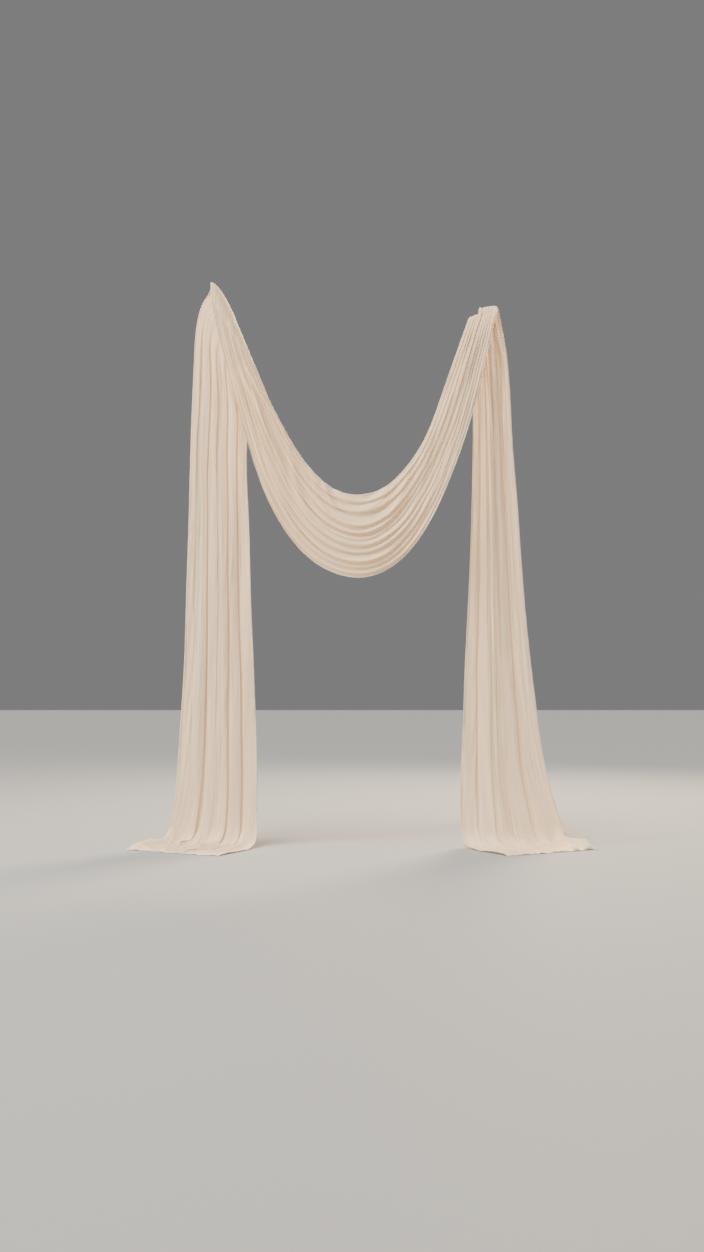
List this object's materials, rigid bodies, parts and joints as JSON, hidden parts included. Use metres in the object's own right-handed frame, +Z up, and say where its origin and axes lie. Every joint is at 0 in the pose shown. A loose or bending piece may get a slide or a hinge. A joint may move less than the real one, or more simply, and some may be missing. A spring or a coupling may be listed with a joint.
{
  "type": "chuppah drape",
  "caption": "Long pleated chiffon cloth slung over raised limbs: a cowl swag between them, a tail hanging behind each limb and a train on the ground.",
  "frame": {"origin": "middle of the flat crest facet where the cloth sits on the left limb", "axes": "+Z up, +X to the right along the swag, +Y to the back, where the tails hang"},
  "size_m": [4.9628, 0.7607, 5.9598],
  "materials": {
    "chiffon": "matte",
    "hem": "matte"
  },
  "bodies": {
    "root": {"left_end_hem": "hem", "left_train": "chiffon", "left_tail_lower": "chiffon", "left_tail_middle": "chiffon", "left_tail_upper": "chiffon", "left_tail_outer_hem": "hem", "left_tail_inner_hem": "hem", "left_limb_saddle": "chiffon", "swag_left_leg": "chiffon", "swag_left_bend": "chiffon", "swag_belly": "chiffon", "swag_right_bend": "chiffon", "swag_right_leg": "chiffon", "swag_lower_hem": "hem", "swag_upper_hem": "hem", "right_limb_saddle": "chiffon", "right_tail_upper": "chiffon", "right_tail_middle": "chiffon", "right_tail_lower": "chiffon", "right_tail_outer_hem": "hem", "right_tail_inner_hem": "hem", "right_train": "chiffon", "right_end_hem": "hem"}
  },
  "joints": []
}
